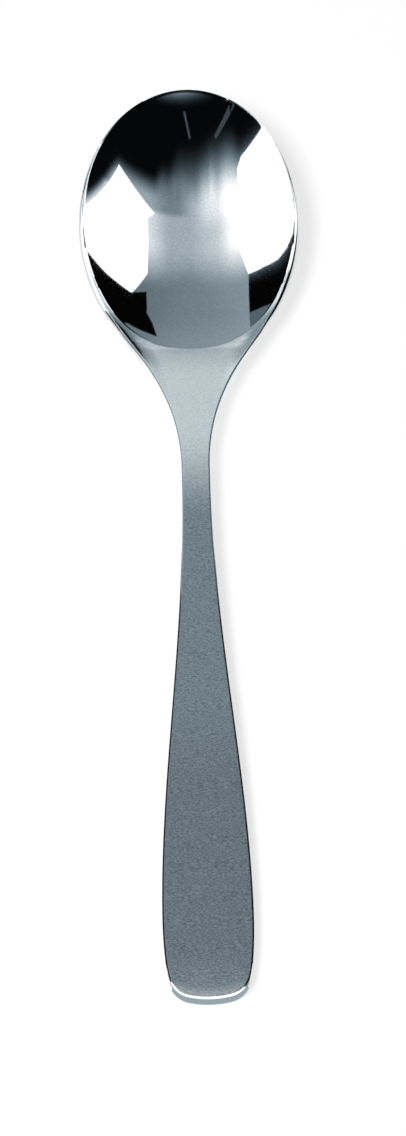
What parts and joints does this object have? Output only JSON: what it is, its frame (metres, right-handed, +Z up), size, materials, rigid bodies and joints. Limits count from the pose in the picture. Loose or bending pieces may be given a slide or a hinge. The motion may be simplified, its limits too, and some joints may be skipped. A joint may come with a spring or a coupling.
{
  "type": "coffee spoon",
  "caption": "Small stainless steel spoon with an oval mirror-polished bowl, a slim flat neck and a flat satin handle that widens to a rounded end.",
  "frame": {"origin": "on the table, under the middle of the spoon's length and width", "axes": "+Y along the spoon towards the tip of the bowl, +X to the right seen from above with the tip up, +Z up out of the open bowl"},
  "size_m": [0.0282, 0.12, 0.0086],
  "materials": {
    "mirror_steel": "mirror polished stainless steel",
    "satin_steel": "satin stainless steel"
  },
  "bodies": {
    "root": {"bowl": "mirror_steel", "handle": "satin_steel"}
  },
  "joints": []
}
